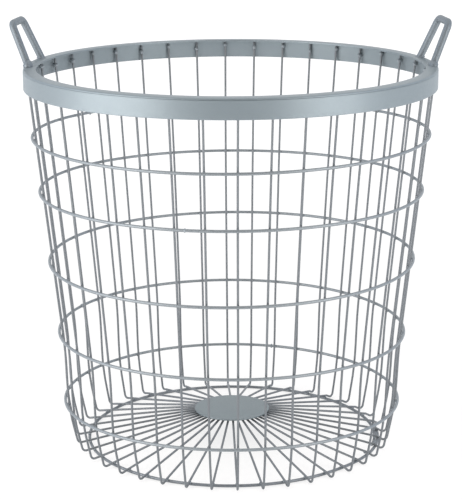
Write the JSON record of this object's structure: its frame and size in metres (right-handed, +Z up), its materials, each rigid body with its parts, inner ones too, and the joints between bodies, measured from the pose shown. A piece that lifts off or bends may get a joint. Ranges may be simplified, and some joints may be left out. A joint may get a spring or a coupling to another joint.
{
  "type": "wire basket",
  "caption": "Round tapered basket of welded steel wire with hoops, a flanged rim band, a raised spoked base with a centre plate and fixed loop handles.",
  "frame": {"origin": "on the floor, under the centre of the basket", "axes": "+Z up; the handles stand at +X and -X; -Y is the front that the picture shows"},
  "size_m": [0.45, 0.42, 0.4424],
  "materials": {
    "rim_paint": "satin blue-grey powder coat",
    "upright_paint": "satin blue-grey powder coat",
    "hoop_paint": "satin blue-grey powder coat",
    "base_ring_paint": "satin blue-grey powder coat",
    "centre_plate_paint": "satin blue-grey powder coat",
    "handle_paint": "satin blue-grey powder coat"
  },
  "bodies": {
    "root": {"rim_band": "rim_paint", "upright_01": "upright_paint", "upright_02": "upright_paint", "upright_03": "upright_paint", "upright_04": "upright_paint", "upright_05": "upright_paint", "upright_06": "upright_paint", "upright_07": "upright_paint", "upright_08": "upright_paint", "upright_09": "upright_paint", "upright_10": "upright_paint", "upright_11": "upright_paint", "upright_12": "upright_paint", "upright_13": "upright_paint", "upright_14": "upright_paint", "upright_15": "upright_paint", "upright_16": "upright_paint", "upright_17": "upright_paint", "upright_18": "upright_paint", "upright_19": "upright_paint", "upright_20": "upright_paint", "upright_21": "upright_paint", "upright_22": "upright_paint", "upright_23": "upright_paint", "upright_24": "upright_paint", "upright_25": "upright_paint", "upright_26": "upright_paint", "upright_27": "upright_paint", "upright_28": "upright_paint", "upright_29": "upright_paint", "upright_30": "upright_paint", "upright_31": "upright_paint", "upright_32": "upright_paint", "upright_33": "upright_paint", "upright_34": "upright_paint", "upright_35": "upright_paint", "upright_36": "upright_paint", "upright_37": "upright_paint", "upright_38": "upright_paint", "upright_39": "upright_paint", "upright_40": "upright_paint", "hoop_1": "hoop_paint", "hoop_2": "hoop_paint", "hoop_3": "hoop_paint", "hoop_4": "hoop_paint", "hoop_5": "hoop_paint", "base_ring": "base_ring_paint", "centre_plate": "centre_plate_paint", "handle_left": "handle_paint", "handle_right": "handle_paint"}
  },
  "joints": []
}
